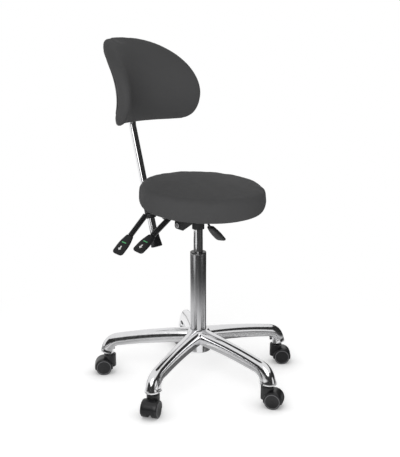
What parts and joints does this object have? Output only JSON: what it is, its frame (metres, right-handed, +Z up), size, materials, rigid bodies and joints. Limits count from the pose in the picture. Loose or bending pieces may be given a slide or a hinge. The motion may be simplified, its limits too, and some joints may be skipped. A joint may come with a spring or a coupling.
{
  "type": "swivel work stool with backrest",
  "caption": "Swivel stool with a round padded seat, half-moon backrest, gas lift, tilt levers and a star base on twin-wheel casters.",
  "frame": {"origin": "on the floor under the middle of the overall box", "axes": "+Z up, the sitter faces -Y, the sitter's right is -X"},
  "size_m": [0.6578, 0.7157, 1.0531],
  "materials": {
    "polished_aluminium": "polished casting",
    "chrome": "bright chrome plate",
    "dark_chrome": "satin chrome plate",
    "zinc_steel": "zinc-plated steel",
    "black_painted_steel": "black powder coat",
    "black_plastic": "moulded, semi-matt",
    "wheel_nylon": "moulded nylon",
    "sleeve_rubber": "ribbed soft rubber",
    "plywood": "bare plywood",
    "charcoal_leatherette": "smooth charcoal leatherette"
  },
  "bodies": {
    "base": {"star_base": "polished_aluminium", "column_tube": "dark_chrome", "guide_bush": "black_plastic", "thrust_bearing": "zinc_steel", "caster_1_stem": "zinc_steel", "caster_2_stem": "zinc_steel", "caster_3_stem": "zinc_steel", "caster_4_stem": "zinc_steel", "caster_5_stem": "zinc_steel"},
    "piston": {"piston_rod": "zinc_steel", "retaining_clip": "zinc_steel"},
    "carrier": {"pressure_tube": "chrome", "mechanism_housing": "black_painted_steel", "seat_pivot_pin": "zinc_steel", "back_pivot_pin": "zinc_steel"},
    "gas_pin": {"gas_release_pin": "zinc_steel"},
    "gas_lever": {"gas_lever_rod": "zinc_steel", "gas_lever_paddle": "black_plastic"},
    "seat_tilt_lever": {"seat_tilt_rod": "zinc_steel", "seat_tilt_sleeve": "sleeve_rubber", "seat_tilt_paddle": "black_plastic"},
    "back_tilt_lever": {"back_tilt_rod": "zinc_steel", "back_tilt_sleeve": "sleeve_rubber", "back_tilt_paddle": "black_plastic"},
    "seat": {"seat_plate": "black_painted_steel", "seat_board": "plywood", "seat_cushion": "charcoal_leatherette", "seat_screw_1": "zinc_steel", "seat_screw_2": "zinc_steel", "seat_screw_3": "zinc_steel", "seat_screw_4": "zinc_steel"},
    "back_arm": {"back_arm": "black_painted_steel", "bar_guide": "black_plastic"},
    "backrest": {"back_bar": "chrome", "bar_end_cap": "black_plastic", "backrest_plate": "black_painted_steel", "backrest_shell": "black_plastic", "backrest_cushion": "charcoal_leatherette", "backrest_screw_1": "zinc_steel", "backrest_screw_2": "zinc_steel"},
    "caster_1": {"caster_1_housing": "black_plastic", "caster_1_axle": "zinc_steel"},
    "caster_1_left": {"caster_1_wheel_left": "wheel_nylon"},
    "caster_1_right": {"caster_1_wheel_right": "wheel_nylon"},
    "caster_2": {"caster_2_housing": "black_plastic", "caster_2_axle": "zinc_steel"},
    "caster_2_left": {"caster_2_wheel_left": "wheel_nylon"},
    "caster_2_right": {"caster_2_wheel_right": "wheel_nylon"},
    "caster_3": {"caster_3_housing": "black_plastic", "caster_3_axle": "zinc_steel"},
    "caster_3_left": {"caster_3_wheel_left": "wheel_nylon"},
    "caster_3_right": {"caster_3_wheel_right": "wheel_nylon"},
    "caster_4": {"caster_4_housing": "black_plastic", "caster_4_axle": "zinc_steel"},
    "caster_4_left": {"caster_4_wheel_left": "wheel_nylon"},
    "caster_4_right": {"caster_4_wheel_right": "wheel_nylon"},
    "caster_5": {"caster_5_housing": "black_plastic", "caster_5_axle": "zinc_steel"},
    "caster_5_left": {"caster_5_wheel_left": "wheel_nylon"},
    "caster_5_right": {"caster_5_wheel_right": "wheel_nylon"}
  },
  "joints": [
    {"name": "seat_swivel", "type": "hinge", "parent": "base", "child": "piston", "pos_m": [0, -0.0134, 0.3], "axis": [0, 0, 1], "continuous": true},
    {"name": "seat_lift", "type": "slide", "parent": "piston", "child": "carrier", "axis": [0, 0, 1], "range_m": [-0.06, 0.065]},
    {"name": "gas_lever_press", "type": "hinge", "parent": "carrier", "child": "gas_lever", "pos_m": [0.016, -0.0374, 0.545], "axis": [0, -1, 0], "range_deg": [0, 10], "stiffness_Nm_per_rad": 1},
    {"name": "gas_pin_press", "type": "slide", "parent": "carrier", "child": "gas_pin", "axis": [0, 0, -1], "range_m": [0, 0.0036]},
    {"name": "seat_tilt_lever_lift", "type": "hinge", "parent": "carrier", "child": "seat_tilt_lever", "pos_m": [-0.024, 0.0716, 0.5255], "axis": [0, 1, 0], "range_deg": [0, 10], "stiffness_Nm_per_rad": 1},
    {"name": "back_tilt_lever_lift", "type": "hinge", "parent": "carrier", "child": "back_tilt_lever", "pos_m": [-0.024, 0.1366, 0.5265], "axis": [0, 1, 0], "range_deg": [0, 10], "stiffness_Nm_per_rad": 1},
    {"name": "seat_tilt", "type": "hinge", "parent": "carrier", "child": "seat", "pos_m": [0, 0.0366, 0.501], "axis": [-1, 0, 0], "range_deg": [-4, 8]},
    {"name": "back_tilt", "type": "hinge", "parent": "carrier", "child": "back_arm", "pos_m": [0, 0.1046, 0.5185], "axis": [-1, 0, 0], "range_deg": [-8, 15]},
    {"name": "back_height", "type": "slide", "parent": "back_arm", "child": "backrest", "axis": [0, 0.274, 0.9617], "range_m": [-0.04, 0.05]},
    {"name": "caster_1_swivel", "type": "hinge", "parent": "base", "child": "caster_1", "pos_m": [0, -0.3024, 0.0655], "axis": [0, 0, 1], "continuous": true},
    {"name": "caster_1_left_roll", "type": "hinge", "parent": "caster_1", "child": "caster_1_left", "pos_m": [0.0097, -0.31989, 0.025], "axis": [0.8746, 0.4848, 0], "continuous": true},
    {"name": "caster_1_right_roll", "type": "hinge", "parent": "caster_1", "child": "caster_1_right", "pos_m": [0.0097, -0.31989, 0.025], "axis": [0.8746, 0.4848, 0], "continuous": true},
    {"name": "caster_2_swivel", "type": "hinge", "parent": "base", "child": "caster_2", "pos_m": [0.27486, -0.10271, 0.0655], "axis": [0, 0, 1], "continuous": true},
    {"name": "caster_2_left_roll", "type": "hinge", "parent": "caster_2", "child": "caster_2_left", "pos_m": [0.28875, -0.11709, 0.025], "axis": [0.7193, 0.6947, 0], "continuous": true},
    {"name": "caster_2_right_roll", "type": "hinge", "parent": "caster_2", "child": "caster_2_right", "pos_m": [0.28875, -0.11709, 0.025], "axis": [0.7193, 0.6947, 0], "continuous": true},
    {"name": "caster_3_swivel", "type": "hinge", "parent": "base", "child": "caster_3", "pos_m": [0.16987, 0.22041, 0.0655], "axis": [0, 0, 1], "continuous": true},
    {"name": "caster_3_left_roll", "type": "hinge", "parent": "caster_3", "child": "caster_3_left", "pos_m": [0.17334, 0.2401, 0.025], "axis": [-0.9848, 0.1736, 0], "continuous": true},
    {"name": "caster_3_right_roll", "type": "hinge", "parent": "caster_3", "child": "caster_3_right", "pos_m": [0.17334, 0.2401, 0.025], "axis": [-0.9848, 0.1736, 0], "continuous": true},
    {"name": "caster_4_swivel", "type": "hinge", "parent": "base", "child": "caster_4", "pos_m": [-0.16987, 0.22041, 0.0655], "axis": [0, 0, 1], "continuous": true},
    {"name": "caster_4_left_roll", "type": "hinge", "parent": "caster_4", "child": "caster_4_left", "pos_m": [-0.18519, 0.23326, 0.025], "axis": [-0.6428, -0.766, 0], "continuous": true},
    {"name": "caster_4_right_roll", "type": "hinge", "parent": "caster_4", "child": "caster_4_right", "pos_m": [-0.18519, 0.23326, 0.025], "axis": [-0.6428, -0.766, 0], "continuous": true},
    {"name": "caster_5_swivel", "type": "hinge", "parent": "base", "child": "caster_5", "pos_m": [-0.27486, -0.10271, 0.0655], "axis": [0, 0, 1], "continuous": true},
    {"name": "caster_5_left_roll", "type": "hinge", "parent": "caster_5", "child": "caster_5_left", "pos_m": [-0.29251, -0.1121, 0.025], "axis": [0.4695, -0.8829, 0], "continuous": true},
    {"name": "caster_5_right_roll", "type": "hinge", "parent": "caster_5", "child": "caster_5_right", "pos_m": [-0.29251, -0.1121, 0.025], "axis": [0.4695, -0.8829, 0], "continuous": true}
  ],
  "couplings": [
    {"joint": "gas_pin_press", "follows": "gas_lever_press", "m_per_rad": 0.0195}
  ]
}
